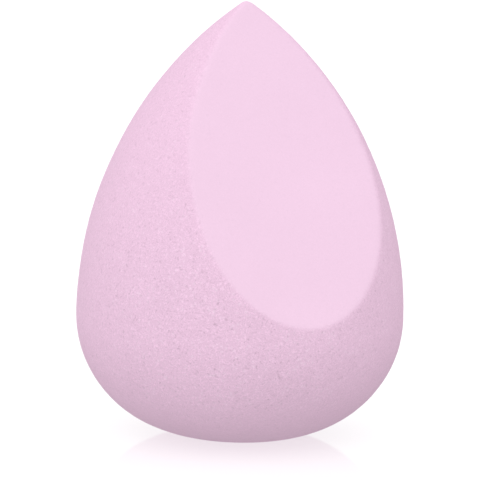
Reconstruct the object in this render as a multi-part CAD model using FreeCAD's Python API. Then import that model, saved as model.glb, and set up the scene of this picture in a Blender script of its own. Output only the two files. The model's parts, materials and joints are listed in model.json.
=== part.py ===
import FreeCAD, Part

import math
import os

from FreeCAD import Vector

# A teardrop makeup sponge: one piece of open-cell foam, pointed above and round below,
# with one flat facet sliced at a slant from the tip down to the belly.
# Frame: millimetres, +Z up, the facet faces -Y, the origin is the middle of the foot.

# Driving dimensions, in millimetres, with the tilt in degrees
HEIGHT = 60.0            # from the foot to the top of the rolled tip
BELLY_DIAMETER = 45.0    # the widest level
BELLY_HEIGHT = 16.8      # the widest level's height above the foot
FOOT_DIAMETER = 8.0      # the flat that the foam settles on
UNDERSIDE_REACH = 10.5   # handle of the lower curve at the foot: longer makes a flatter underside
SHOULDER_REACH = 9.0     # handle of the lower curve at the belly: longer makes a straighter shoulder
TIP_SETBACK = 0.3        # how far the tip lies behind the axis, away from the facet
FACET_TILT = 28.4        # the facet's lean from upright
EDGE_RADIUS = 0.6        # roll of the foam along the facet's edge and over the tip

# Seen from the side, Y is the distance from the axis on the back and Z is the height.
# The foam is a sharp-edged core that is grown by the edge radius, so the core is that much smaller.
AXIS = Vector(0, 0, 1)
CORE_FOOT = Vector(0, 0, EDGE_RADIUS)
CORE_TIP = Vector(0, TIP_SETBACK, HEIGHT - EDGE_RADIUS)
CORE_BELLY = Vector(0, BELLY_DIAMETER / 2 - EDGE_RADIUS, BELLY_HEIGHT)


def lower_curve():
    """Curve from the foot's rim to the belly, level at the foot and upright at the belly."""
    foot_rim = CORE_FOOT + Vector(0, FOOT_DIAMETER / 2, 0)
    curve = Part.BezierCurve()
    curve.setPoles([
        foot_rim,
        foot_rim + Vector(0, UNDERSIDE_REACH, 0),
        CORE_BELLY - Vector(0, 0, SHOULDER_REACH),
        CORE_BELLY,
    ])
    return curve


def flank_arc():
    """Arc from the belly, upright there, through the core's tip and on to the axis."""
    inward = CORE_BELLY.y - CORE_TIP.y
    upward = CORE_TIP.z - CORE_BELLY.z
    radius = (inward ** 2 + upward ** 2) / (2 * inward)
    centre = CORE_BELLY - Vector(0, radius, 0)
    sweep = math.acos(-centre.y / radius)

    def point(angle):
        return centre + Vector(0, radius * math.cos(angle), radius * math.sin(angle))

    return Part.Arc(point(0), point(sweep / 2), point(sweep))


def teardrop():
    """The core before its facet is cut, turned about the axis, with its seam at the back."""
    lower = lower_curve()
    flank = flank_arc()
    apex = flank.EndPoint
    outline = Part.Wire([
        Part.makeLine(CORE_FOOT, lower.StartPoint),
        lower.toShape(),
        flank.toShape(),
        Part.makeLine(apex, CORE_FOOT),
    ])
    return Part.Face(outline).revolve(CORE_FOOT, AXIS, 360)


def facet_slice():
    """Block that takes away everything in front of the facet, which passes through the core's tip."""
    tilt = math.radians(FACET_TILT)
    facing = Vector(0, -math.cos(tilt), math.sin(tilt))
    across = Vector(1, 0, 0)
    downhill = across.cross(facing)
    size = 2 * (HEIGHT + BELLY_DIAMETER)
    corner = CORE_TIP - (across - downhill) * (size / 2)
    plane = Part.makePlane(size, size, corner, facing, across)
    return plane.extrude(facing * size)


def skin(face):
    """A flat face as it is, and a curved one as a spline, which a file holds more surely than an offset."""
    if isinstance(face.Surface, Part.Plane):
        return face
    return face.toNurbs().Faces[0]


def foam_body():
    """The whole sponge: the faceted core, grown so that each sharp edge becomes a roll."""
    core = teardrop().cut(facet_slice()).Solids[0]
    tolerance = EDGE_RADIUS / 1000
    round_joins = 0
    grown = core.makeOffsetShape(EDGE_RADIUS, tolerance, join=round_joins)
    shell = Part.makeShell([skin(face) for face in grown.Faces])
    shell.sewShape()
    return Part.makeSolid(shell)


os.makedirs("parts", exist_ok=True)
foam_body().exportStep("parts/foam_body.step")
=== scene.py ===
import json
import math

import bmesh
import bpy
import numpy as np
from mathutils import Matrix, Vector, noise


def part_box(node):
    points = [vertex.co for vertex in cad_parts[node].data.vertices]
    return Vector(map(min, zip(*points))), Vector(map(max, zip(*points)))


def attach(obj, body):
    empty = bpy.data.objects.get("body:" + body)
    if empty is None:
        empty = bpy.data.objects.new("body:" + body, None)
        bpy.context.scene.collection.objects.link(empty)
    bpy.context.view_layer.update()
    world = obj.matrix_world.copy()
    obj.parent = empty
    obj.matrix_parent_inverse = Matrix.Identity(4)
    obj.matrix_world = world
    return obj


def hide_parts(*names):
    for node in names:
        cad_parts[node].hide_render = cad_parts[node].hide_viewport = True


# A teardrop makeup sponge of pale pink foam, standing on a white table in soft light.
# Metres, +Z up, the facet faces -Y, the origin is the middle of the foot.

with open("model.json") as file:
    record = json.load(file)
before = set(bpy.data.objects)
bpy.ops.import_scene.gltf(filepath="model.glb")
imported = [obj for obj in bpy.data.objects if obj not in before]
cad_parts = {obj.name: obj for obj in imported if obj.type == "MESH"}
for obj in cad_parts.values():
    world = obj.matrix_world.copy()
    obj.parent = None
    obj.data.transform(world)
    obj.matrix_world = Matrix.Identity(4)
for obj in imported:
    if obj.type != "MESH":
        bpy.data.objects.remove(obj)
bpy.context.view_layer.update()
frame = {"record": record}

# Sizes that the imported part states
LOW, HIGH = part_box("foam_body")
HEIGHT = HIGH.z - LOW.z
BELLY_RADIUS = (HIGH.x - LOW.x) / 2
FACET = next(mount for mount in frame["record"]["mounts"] if mount["name"] == "cut_facet")
FACET_POINT = np.array(FACET["pos_m"])
FACET_FACING = np.array(FACET["axis"])

# Sizes of the curves between them
BELLY_HEIGHT = 0.0168
FOOT_RADIUS = 0.004
UNDERSIDE_REACH = 0.0105      # handle of the lower curve at the foot
SHOULDER_REACH = 0.009        # handle of the lower curve at the belly
TIP_SETBACK = 0.0003          # how far the tip lies behind the axis
TIP_ROLL = 0.0006             # roll of the foam over the tip
EDGE_ROLL = 0.0014            # roll along the facet's edge, away from the tip
EDGE_ROLL_FULL_BELOW = 0.052  # height up to which the edge keeps that roll
FRAY = 0.6                    # share by which the roll varies
FRAY_LENGTH = 0.0007          # and the length over which it does

# The mesh, whose points are found along rays from the heart
HEART = np.array([0.0, 0.0, 0.026])
GRID = 128                    # squares along each side of the cube that the mesh is made from
CURVE_STEPS = 600             # points on each curve of the profile
LEAST_SLOPE = 0.05            # a ray that nears the facet's plane more slowly is taken to miss it
FAR_AWAY = 1.0
LEAST_ROLL = 0.00001
NEARLY_ZERO = 1e-12

# The skin's unevenness
SWELL = 0.00008
SWELL_LENGTH = 0.011
DIMPLE = 0.00002
DIMPLE_LENGTH = 0.0009
DIMPLE_LOST_ON_FACET = 0.7
UNEVEN_ABOVE = 0.003          # height at which the skin is fully uneven, from none at the foot

# How much the open cells show, in relief and in their painted shade and highlights: fully on the lower
# front, and less elsewhere, on the facet and at the foot
GRAIN_MIDDLE = np.array([-0.0115, -0.0195, 0.019])
GRAIN_NEAR = 0.004
GRAIN_FAR = 0.028
GRAIN_ELSEWHERE = 0.55
GRAIN_ON_FACET = 0.12
GRAIN_AT_FOOT = 0.3
GRAIN_FULL_ABOVE = 0.012      # height at which the foot takes none of it away

# The foam's colours, the facet painted lighter, and how far its pores (painted shade), cells (painted
# highlights), strands (painted highlights and shade) and mottling change them
BODY_PINK = (0.794, 0.544, 0.706, 1)
FACET_PINK_PAINTED_LIGHTER = (0.835, 0.594, 0.754, 1)
PORE_SHADE_PINK = (0.58, 0.37, 0.50, 1)
CELL_HIGHLIGHT_PINK = (0.93, 0.76, 0.88, 1)
PORE_SHADE_TINT = 0.4
CELL_HIGHLIGHT_TINT = 0.35
STRAND_LIGHT_AND_SHADE = 0.22
MOTTLE_CONTRAST = 0.01

# The foam's textures, as features in a metre, and the height of their relief
PORES = 2700.0
CELLS = 1600.0
STRANDS = 2500.0
PATCHES = 420.0
MOTTLES = 90.0
RELIEF = 0.00005
RELIEF_STRENGTH = 0.5
FOAM_ROUGHNESS = (0.85, 1.0)
FOAM_SPECULAR = 0.2

# Ranges of a texture's value over which a feature comes or goes
OPEN_PATCH = (0.4, 0.62)
CLOSED_PATCH = (0.38, 0.6)
PORE_SIZE = (0.1, 0.42)
CELL_SIZE = (0.1, 0.4)
STRAND_RISE = (0.46, 0.51)
STRAND_FALL = (0.51, 0.56)
SHADED_GAP = (0.24, 0.39)
MIDDLE_VALUES = (0.3, 0.7)
COMES = (0, 1)
GOES = (1, 0)

# The white table
TABLE_HALF = 4.0
TABLE_GREY = (0.5, 0.5, 0.5, 1)
TABLE_GLOW = 0.54
TABLE_ROUGHNESS = (0.05, 0.09)
TABLE_HAZE = 6.0              # features in a metre
WHITE = (1, 1, 1, 1)

# The light: its even part, and how it grows upwards and towards the front left
LIGHT_EVEN = 0.85
LIGHT_LEAN = (-0.184, -0.204, 0.436)

# The camera, from the photograph's outline
CAMERA_DISTANCE = 0.6
CAMERA_TURN = math.radians(25.784)
CAMERA_RISE = math.radians(9.016)
CAMERA_ROLL = math.radians(1.3)
IMAGE_SIDE = 480
PIXELS_PER_METRE = 7290       # at the sponge's middle
MIDDLE_PIXEL = (242.157, 218.891)
SENSOR_WIDTH = 36             # millimetres, as the lens is
CLIP_NEAR = 0.01
CLIP_FAR = 20


def smooth_step(low, high, value):
    """0 below low, 1 above high, and a smooth rise between."""
    share = np.clip((value - low) / (high - low), 0, 1)
    return share * share * (3 - 2 * share)


def unit(vectors):
    """The vectors, each made one long."""
    return vectors / np.linalg.norm(vectors, axis=1)[:, None]


def noise_at(points, length):
    """Smooth noise at each point, which changes over about that length."""
    return np.array([noise.noise(Vector(point) / length) for point in points])


def teardrop_profile():
    """Outer points (radius, height) and outward normals of the uncut teardrop, from tip to foot."""
    step = np.linspace(0, 1, CURVE_STEPS)[:, None]
    belly = np.array([BELLY_RADIUS - TIP_ROLL, BELLY_HEIGHT])
    rim = np.array([FOOT_RADIUS, TIP_ROLL])

    # The flat foot
    foot = rim * (step * [1, 0] + [0, 1])
    foot_normal = np.tile([0.0, -1.0], (CURVE_STEPS, 1))

    # The curve up to the belly, level at the foot and upright at the belly
    rim_handle = rim + [UNDERSIDE_REACH, 0]
    belly_handle = belly - [0, SHOULDER_REACH]
    back = 1 - step
    lower = (back ** 3 * rim + 3 * back ** 2 * step * rim_handle
             + 3 * back * step ** 2 * belly_handle + step ** 3 * belly)
    along = (back ** 2 * (rim_handle - rim) + 2 * back * step * (belly_handle - rim_handle)
             + step ** 2 * (belly - belly_handle))
    lower_normal = unit(np.stack([along[:, 1], -along[:, 0]], 1))

    # The arc up to the axis, through the tip
    inward = belly[0] - TIP_SETBACK
    upward = HEIGHT - TIP_ROLL - BELLY_HEIGHT
    radius = (inward ** 2 + upward ** 2) / (2 * inward)
    centre = belly - [radius, 0]
    sweep = math.acos(-centre[0] / radius)
    angle = sweep * step
    flank_normal = np.concatenate([np.cos(angle), np.sin(angle)], 1)
    flank = centre + radius * flank_normal

    # The roll over the apex
    angle = sweep + (math.pi / 2 - sweep) * step
    tip_normal = np.concatenate([np.cos(angle), np.sin(angle)], 1)
    tip = np.tile(flank[-1], (CURVE_STEPS, 1))

    core = np.concatenate([foot[:-1], lower[:-1], flank[:-1], tip])
    normal = np.concatenate([foot_normal[:-1], lower_normal[:-1], flank_normal[:-1], tip_normal])
    outer = core + TIP_ROLL * normal
    return outer[::-1], normal[::-1]


def cube_grid(name):
    """A closed mesh of square faces, as a cube's sides cut into a grid."""
    mesh = bpy.data.meshes.new(name)
    grid = bmesh.new()
    bmesh.ops.create_cube(grid, size=2)
    bmesh.ops.subdivide_edges(grid, edges=grid.edges[:], cuts=GRID - 1, use_grid_fill=True)
    grid.to_mesh(mesh)
    grid.free()
    return mesh


def even_rays(cube, outer, polar):
    """Each point's angle from upright and its side of the axis, spread evenly over the teardrop's area."""
    ball = unit(np.tan(cube * math.pi / 4))
    band = np.linalg.norm(np.diff(outer, axis=0), axis=1) * (outer[1:, 0] + outer[:-1, 0])
    area = np.concatenate([[0], np.cumsum(band)])
    angle = np.interp((1 - ball[:, 2]) / 2, area / area[-1], polar)
    level = np.maximum(np.linalg.norm(ball[:, :2], axis=1), NEARLY_ZERO)
    return angle, ball[:, :2] / level[:, None]


def turned(side, outward, upward):
    """Vectors with these parts outward and upward, each turned to its own side of the axis."""
    return np.stack([side[:, 0] * outward, side[:, 1] * outward, upward], 1)


def edge_roll(corner, bend):
    """Roll of the foam at each point of a corner, frayed by the cells that the cut opens."""
    near_tip = smooth_step(EDGE_ROLL_FULL_BELOW, HEIGHT, corner[:, 2])
    frayed = EDGE_ROLL * (1 + FRAY * noise_at(corner, FRAY_LENGTH))
    return bend * (frayed * (1 - near_tip) + TIP_ROLL * near_tip)


def foam_surface(cube):
    """Moves the cube's points onto the sponge: (points, share of the facet at each point)."""
    outer, normal = teardrop_profile()
    reach = outer - [0, HEART[2]]
    distance = np.linalg.norm(reach, axis=1)
    polar = np.arctan2(reach[:, 0], reach[:, 1])
    slope = (normal * reach).sum(1) / distance
    angle, side = even_rays(cube, outer, polar)
    ray = turned(side, np.sin(angle), np.cos(angle))

    # Along a ray, the distances outside the teardrop and the facet's plane both grow evenly
    body_reach = np.interp(angle, polar, distance)
    body_slope = np.interp(angle, polar, slope)
    facet_slope = ray @ FACET_FACING
    facet_gap = (FACET_POINT - HEART) @ FACET_FACING
    meets_facet = facet_slope > LEAST_SLOPE
    facet_reach = np.where(meets_facet, facet_gap / np.maximum(facet_slope, LEAST_SLOPE), FAR_AWAY)
    sharp = np.minimum(body_reach, facet_reach)

    # Where both are near, the surface is a roll between them, wider where they bend more
    body_normal = turned(side, np.interp(angle, polar, normal[:, 0]), np.interp(angle, polar, normal[:, 1]))
    roll = edge_roll(HEART + ray * sharp[:, None], 1 - body_normal @ FACET_FACING)
    body_start = roll - body_slope * body_reach
    facet_start = roll - facet_gap
    square = body_slope ** 2 + facet_slope ** 2
    middle = body_slope * body_start + facet_slope * facet_start
    rest = body_start ** 2 + facet_start ** 2 - roll ** 2
    root = np.sqrt(np.maximum(middle ** 2 - square * rest, 0))
    rolled = (root - middle) / square
    on_roll = (body_slope * rolled + body_start > 0) & (facet_slope * rolled + facet_start > 0)
    length = np.where(on_roll, rolled, sharp)

    outside_body = body_slope * (length - body_reach)
    outside_facet = facet_slope * length - facet_gap
    facet_share = smooth_step(-1, 1, (outside_facet - outside_body) / np.maximum(roll, LEAST_ROLL))
    return HEART + ray * length[:, None], facet_share


def unevenness(points, facet_share):
    """Height of the foam's slow swells and small dimples at each point, none of them at the foot."""
    swell = SWELL * noise_at(points, SWELL_LENGTH)
    dimple = DIMPLE * noise_at(points, DIMPLE_LENGTH) * (1 - DIMPLE_LOST_ON_FACET * facet_share)
    return (swell + dimple) * smooth_step(0.0, UNEVEN_ABOVE, points[:, 2])


def grain_strength(points, facet_share):
    """How much the open cells show at each point, in relief and in their painted shade and highlights."""
    away = np.linalg.norm(points - GRAIN_MIDDLE, axis=1)
    near_foot = 1 - smooth_step(0.0, GRAIN_FULL_ABOVE, points[:, 2])
    body = 1 - (1 - GRAIN_ELSEWHERE) * smooth_step(GRAIN_NEAR, GRAIN_FAR, away)
    body *= 1 - (1 - GRAIN_AT_FOOT) * near_foot
    return body * (1 - facet_share) + GRAIN_ON_FACET * facet_share


def store(mesh, name, values):
    """Keeps one value for each point of the mesh, for the material to read."""
    layer = mesh.attributes.new(name, "FLOAT", "POINT")
    layer.data.foreach_set("value", values.astype(np.float32))


def add_node(tree, kind, **inputs):
    """A shader node with its input values set by name."""
    made = tree.nodes.new(kind)
    for name, value in inputs.items():
        made.inputs[name.replace("_", " ")].default_value = value
    return made


def stored(tree, name):
    """The value that the mesh keeps under that name."""
    made = tree.nodes.new("ShaderNodeAttribute")
    made.attribute_name = name
    return made.outputs["Fac"]


def spread(tree, source, values, results):
    """The source's value, moved from one range into another and kept inside that."""
    made = add_node(tree, "ShaderNodeMapRange", From_Min=values[0], From_Max=values[1],
                    To_Min=results[0], To_Max=results[1])
    tree.links.new(source, made.inputs["Value"])
    return made.outputs["Result"]


def around_one(contrast):
    """The range that reaches as far below one as above it."""
    return 1 - contrast, 1 + contrast


def combine(tree, operation, first, second):
    """Two values multiplied, added or subtracted."""
    made = tree.nodes.new("ShaderNodeMath")
    made.operation = operation
    tree.links.new(first, made.inputs[0])
    tree.links.new(second, made.inputs[1])
    return made.outputs["Value"]


def tint(tree, share, colour, other):
    """The colour, turned into a fixed other one by a share."""
    made = tree.nodes.new("ShaderNodeMix")
    made.data_type = "RGBA"
    tree.links.new(share, made.inputs["Factor"])
    if isinstance(colour, tuple):
        made.inputs["A"].default_value = colour
    else:
        tree.links.new(colour, made.inputs["A"])
    made.inputs["B"].default_value = other
    return made.outputs["Result"]


def foam_material():
    """Matte open-cell foam: pores with painted shade, cell walls with painted highlights, short strands
    with painted highlights and shade beside them, all fainter on the cut facet, which is painted lighter.
    """
    material = bpy.data.materials.new("pink_foam")
    material.use_nodes = True
    tree = material.node_tree
    shader = tree.nodes["Principled BSDF"]
    place = add_node(tree, "ShaderNodeTexCoord")
    grain = stored(tree, "grain")

    pores = add_node(tree, "ShaderNodeTexVoronoi", Scale=PORES)
    cells = add_node(tree, "ShaderNodeTexVoronoi", Scale=CELLS)
    strands = add_node(tree, "ShaderNodeTexNoise", Scale=STRANDS, Detail=2.0, Roughness=0.5, Distortion=0.6)
    patches = add_node(tree, "ShaderNodeTexNoise", Scale=PATCHES, Detail=3.0, Roughness=0.6)
    mottles = add_node(tree, "ShaderNodeTexNoise", Scale=MOTTLES, Detail=3.0)
    for texture in (pores, cells, strands, patches, mottles):
        tree.links.new(place.outputs["Object"], texture.inputs["Vector"])

    # Pores lie in the open patches, cells with painted highlights in the closed ones, and strands all over
    open_here = combine(tree, "MULTIPLY", spread(tree, patches.outputs["Fac"], OPEN_PATCH, COMES), grain)
    pore = combine(tree, "MULTIPLY", spread(tree, pores.outputs["Distance"], PORE_SIZE, GOES), open_here)
    closed_here = combine(tree, "MULTIPLY", spread(tree, patches.outputs["Fac"], CLOSED_PATCH, GOES), grain)
    cell = combine(tree, "MULTIPLY", spread(tree, cells.outputs["Distance"], CELL_SIZE, GOES), closed_here)
    # Strands rise with sunk gaps beside them, and the same shares paint their highlight and shade
    lit_strand = combine(tree, "MULTIPLY", spread(tree, strands.outputs["Fac"], STRAND_RISE, COMES),
                           spread(tree, strands.outputs["Fac"], STRAND_FALL, GOES))
    shaded_gap = spread(tree, strands.outputs["Fac"], SHADED_GAP, GOES)
    strand = combine(tree, "MULTIPLY", combine(tree, "SUBTRACT", lit_strand, shaded_gap), grain)

    height = combine(tree, "SUBTRACT", combine(tree, "ADD", strand, cell), pore)
    bump = add_node(tree, "ShaderNodeBump", Strength=RELIEF_STRENGTH, Distance=RELIEF)
    tree.links.new(height, bump.inputs["Height"])
    tree.links.new(bump.outputs["Normal"], shader.inputs["Normal"])

    # Painted light: the facet is coloured lighter than the body, for the smaller shade in its cut pores
    colour = tint(tree, stored(tree, "facet_share"), BODY_PINK, FACET_PINK_PAINTED_LIGHTER)
    # Painted shade: the pores are darkened for the shade in their pits
    colour = tint(tree, spread(tree, pore, COMES, (0, PORE_SHADE_TINT)), colour, PORE_SHADE_PINK)
    # Painted highlight: the cell walls are lightened for the light they catch
    colour = tint(tree, spread(tree, cell, COMES, (0, CELL_HIGHLIGHT_TINT)), colour, CELL_HIGHLIGHT_PINK)
    shade = tree.nodes.new("ShaderNodeHueSaturation")
    tree.links.new(colour, shade.inputs["Color"])
    # Painted highlight and shade: the strands are lightened and the gaps beside them darkened
    strand_painted_light = spread(tree, strand, (-1, 1), around_one(STRAND_LIGHT_AND_SHADE))
    mottle_light = spread(tree, mottles.outputs["Fac"], MIDDLE_VALUES, around_one(MOTTLE_CONTRAST))
    tree.links.new(combine(tree, "MULTIPLY", strand_painted_light, mottle_light), shade.inputs["Value"])
    tree.links.new(shade.outputs["Color"], shader.inputs["Base Color"])

    roughness = spread(tree, strands.outputs["Fac"], MIDDLE_VALUES, FOAM_ROUGHNESS)
    tree.links.new(roughness, shader.inputs["Roughness"])
    shader.inputs["Specular IOR Level"].default_value = FOAM_SPECULAR
    return material


def sponge():
    """The foam body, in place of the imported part's plain solid."""
    mesh = cube_grid("foam")
    cube = np.zeros(len(mesh.vertices) * 3, np.float32)
    mesh.vertices.foreach_get("co", cube)
    points, facet_share = foam_surface(cube.reshape(-1, 3).astype(float))
    points = points + unit(points - HEART) * unevenness(points, facet_share)[:, None]
    mesh.vertices.foreach_set("co", points.astype(np.float32).ravel())
    store(mesh, "facet_share", facet_share)
    store(mesh, "grain", grain_strength(points, facet_share))
    mesh.shade_smooth()
    mesh.materials.append(foam_material())
    mesh.update()
    body = bpy.data.objects.new("foam", mesh)
    bpy.context.scene.collection.objects.link(body)
    return body


def table_material():
    """White table laminate with a soft gloss, a little hazy in places."""
    material = bpy.data.materials.new("white_table")
    material.use_nodes = True
    tree = material.node_tree
    shader = tree.nodes["Principled BSDF"]
    shader.inputs["Base Color"].default_value = TABLE_GREY
    shader.inputs["Emission Color"].default_value = WHITE
    shader.inputs["Emission Strength"].default_value = TABLE_GLOW
    place = add_node(tree, "ShaderNodeTexCoord")
    haze = add_node(tree, "ShaderNodeTexNoise", Scale=TABLE_HAZE, Detail=2.0)
    tree.links.new(place.outputs["Object"], haze.inputs["Vector"])
    tree.links.new(spread(tree, haze.outputs["Fac"], COMES, TABLE_ROUGHNESS), shader.inputs["Roughness"])
    return material


def table():
    """A large level table under the sponge, which throws no light back up at it."""
    corners = [(x * TABLE_HALF, y * TABLE_HALF, 0) for x, y in ((-1, -1), (1, -1), (1, 1), (-1, 1))]
    mesh = bpy.data.meshes.new("table")
    mesh.from_pydata(corners, [], [(0, 1, 2, 3)])
    mesh.materials.append(table_material())
    floor = bpy.data.objects.new("table", mesh)
    floor.visible_diffuse = False
    bpy.context.scene.collection.objects.link(floor)


def studio_light():
    """Soft light from all round, brightest from the upper front left."""
    world = bpy.data.worlds.new("studio")
    bpy.context.scene.world = world
    world.use_nodes = True
    tree = world.node_tree
    background = tree.nodes["Background"]
    background.inputs["Color"].default_value = WHITE
    place = add_node(tree, "ShaderNodeTexCoord")
    lean = tree.nodes.new("ShaderNodeVectorMath")
    lean.operation = "DOT_PRODUCT"
    lean.inputs[1].default_value = LIGHT_LEAN
    level = tree.nodes.new("ShaderNodeMath")
    level.operation = "ADD"
    level.inputs[1].default_value = LIGHT_EVEN
    tree.links.new(place.outputs["Generated"], lean.inputs[0])
    tree.links.new(lean.outputs["Value"], level.inputs[0])
    tree.links.new(level.outputs["Value"], background.inputs["Strength"])


def photo_camera():
    """The camera where the photograph's outline puts it, aimed so that the sponge falls on its pixels."""
    middle = Vector((0, 0, HEIGHT / 2))
    back = Vector((-math.sin(CAMERA_TURN) * math.cos(CAMERA_RISE),
                   -math.cos(CAMERA_TURN) * math.cos(CAMERA_RISE),
                   math.sin(CAMERA_RISE)))
    level = Vector((0, 0, 1)).cross(back).normalized()
    lift = back.cross(level)
    right = level * math.cos(CAMERA_ROLL) + lift * math.sin(CAMERA_ROLL)
    up = back.cross(right)
    place = middle + back * CAMERA_DISTANCE
    beside = (MIDDLE_PIXEL[0] - IMAGE_SIDE / 2) / PIXELS_PER_METRE
    above = (IMAGE_SIDE / 2 - MIDDLE_PIXEL[1]) / PIXELS_PER_METRE
    aim = middle - right * beside - up * above
    back = (place - aim).normalized()
    up = back.cross(right).normalized()
    right = up.cross(back)

    data = bpy.data.cameras.new("camera")
    data.sensor_width = SENSOR_WIDTH
    data.lens = SENSOR_WIDTH * PIXELS_PER_METRE * CAMERA_DISTANCE / IMAGE_SIDE
    data.clip_start = CLIP_NEAR
    data.clip_end = CLIP_FAR
    camera = bpy.data.objects.new("camera", data)
    camera.matrix_world = Matrix.Translation(place) @ Matrix((right, up, back)).transposed().to_4x4()
    bpy.context.scene.collection.objects.link(camera)
    bpy.context.scene.camera = camera


foam = sponge()
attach(foam, "root")
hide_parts("foam_body")
table()
studio_light()
photo_camera()
bpy.context.scene.view_settings.view_transform = "Standard"
